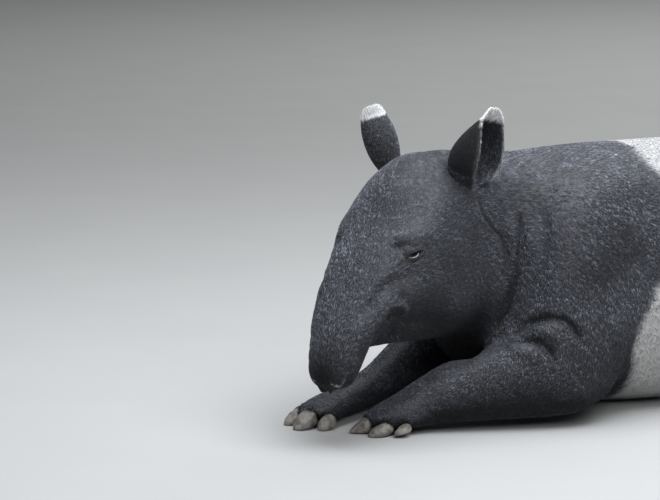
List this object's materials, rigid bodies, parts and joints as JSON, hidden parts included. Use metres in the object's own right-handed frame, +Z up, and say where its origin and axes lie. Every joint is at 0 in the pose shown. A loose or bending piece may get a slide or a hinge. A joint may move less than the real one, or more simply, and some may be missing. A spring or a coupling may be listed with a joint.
{
  "type": "malayan tapir model",
  "caption": "Life-size still model of a Malayan tapir lying on its belly with its head turned to its left, black fore and hind parts, white saddle",
  "frame": {"origin": "middle of the model's box, at the floor that it lies on", "axes": "+Y runs from the head to the rump, so the animal faces -Y; +X is to its left; +Z is up"},
  "size_m": [0.8042, 1.7816, 0.6269],
  "materials": {
    "dark_coat": "short flat black hair flecked with grey, matt",
    "white_coat": "short flat greyish white hair, matt",
    "eye": "wet dark brown eye",
    "hoof": "dull grey-brown horn"
  },
  "bodies": {
    "root": {"head": "dark_coat", "proboscis": "dark_coat", "lower_jaw": "dark_coat", "neck": "dark_coat", "torso": "white_coat", "tail": "white_coat", "ear_left": "dark_coat", "eye_left": "eye", "upper_foreleg_left": "dark_coat", "forearm_left": "dark_coat", "forefoot_left": "dark_coat", "shank_left": "dark_coat", "hindfoot_left": "dark_coat", "thigh_left": "white_coat", "hoof_fore_left_middle": "hoof", "hoof_fore_left_inner": "hoof", "hoof_fore_left_outer": "hoof", "hoof_fore_left_little": "hoof", "hoof_hind_left_middle": "hoof", "hoof_hind_left_inner": "hoof", "hoof_hind_left_outer": "hoof", "ear_right": "dark_coat", "eye_right": "eye", "upper_foreleg_right": "dark_coat", "forearm_right": "dark_coat", "forefoot_right": "dark_coat", "shank_right": "dark_coat", "hindfoot_right": "dark_coat", "thigh_right": "white_coat", "hoof_fore_right_middle": "hoof", "hoof_fore_right_inner": "hoof", "hoof_fore_right_outer": "hoof", "hoof_fore_right_little": "hoof", "hoof_hind_right_middle": "hoof", "hoof_hind_right_inner": "hoof", "hoof_hind_right_outer": "hoof"}
  },
  "joints": []
}
